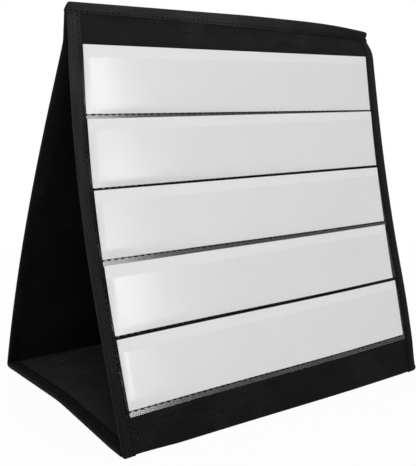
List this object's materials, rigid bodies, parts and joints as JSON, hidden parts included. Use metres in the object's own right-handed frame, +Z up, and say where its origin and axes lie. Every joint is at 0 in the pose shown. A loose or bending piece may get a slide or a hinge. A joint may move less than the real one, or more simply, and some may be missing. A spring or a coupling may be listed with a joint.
{
  "type": "tabletop pocket chart",
  "caption": "Free-standing fabric tent that folds flat, with rows of clear pockets across its front, each holding a wide blank card that lifts out.",
  "frame": {"origin": "on the floor, under the middle of the base", "axes": "+Z up, +X across the chart to the right as seen from the front, the pockets face -Y"},
  "size_m": [0.33, 0.197, 0.3202],
  "materials": {
    "cover_fabric": "black woven polyester, matte",
    "lining_fabric": "black woven polyester, matte",
    "board": "grey paperboard, hidden inside the covers",
    "binding_tape": "black woven tape, slight sheen",
    "clear_vinyl": "clear flexible vinyl, glossy",
    "card": "white card, matte"
  },
  "bodies": {
    "front": {"front_cover": "cover_fabric", "front_board": "board", "front_lining": "lining_fabric", "front_binding_left": "binding_tape", "front_binding_right": "binding_tape", "ridge_binding": "binding_tape", "pocket_1": "clear_vinyl", "pocket_2": "clear_vinyl", "pocket_3": "clear_vinyl", "pocket_4": "clear_vinyl", "pocket_5": "clear_vinyl"},
    "card_1": {"card_1": "card"},
    "card_2": {"card_2": "card"},
    "card_3": {"card_3": "card"},
    "card_4": {"card_4": "card"},
    "card_5": {"card_5": "card"},
    "base_front": {"base_front_cover": "cover_fabric", "base_front_board": "board", "base_front_lining": "lining_fabric", "base_front_binding_left": "binding_tape", "base_front_binding_right": "binding_tape"},
    "base_rear": {"base_rear_cover": "cover_fabric", "base_rear_board": "board", "base_rear_lining": "lining_fabric", "base_rear_binding_left": "binding_tape", "base_rear_binding_right": "binding_tape"},
    "back": {"back_cover": "cover_fabric", "back_board": "board", "back_lining": "lining_fabric", "back_binding_left": "binding_tape", "back_binding_right": "binding_tape"}
  },
  "joints": [
    {"name": "base_crease", "type": "hinge", "parent": "base_front", "child": "base_rear", "pos_m": [0, 0, 0], "axis": [-1, 0, 0], "range_deg": [0, 170]},
    {"name": "front_fold", "type": "hinge", "parent": "front", "child": "base_front", "pos_m": [0, -0.0924, 0.0042], "axis": [1, 0, 0], "range_deg": [0, 67]},
    {"name": "rear_fold", "type": "hinge", "parent": "base_rear", "child": "back", "pos_m": [0, 0.09355, 0.0042], "axis": [1, 0, 0], "range_deg": [0, 71.9]},
    {"name": "card_1_lift", "type": "slide", "parent": "front", "child": "card_1", "axis": [0, 0.1667, 0.986], "range_m": [0, 0.045]},
    {"name": "card_2_lift", "type": "slide", "parent": "front", "child": "card_2", "axis": [0, 0.2037, 0.979], "range_m": [0, 0.045]},
    {"name": "card_3_lift", "type": "slide", "parent": "front", "child": "card_3", "axis": [0, 0.2404, 0.9707], "range_m": [0, 0.045]},
    {"name": "card_4_lift", "type": "slide", "parent": "front", "child": "card_4", "axis": [0, 0.2767, 0.9609], "range_m": [0, 0.045]},
    {"name": "card_5_lift", "type": "slide", "parent": "front", "child": "card_5", "axis": [0, 0.3127, 0.9499], "range_m": [0, 0.045]}
  ],
  "couplings": [
    {"joint": "front_fold", "follows": "base_crease", "ratio": 0.394},
    {"joint": "rear_fold", "follows": "base_crease", "ratio": 0.4225}
  ]
}
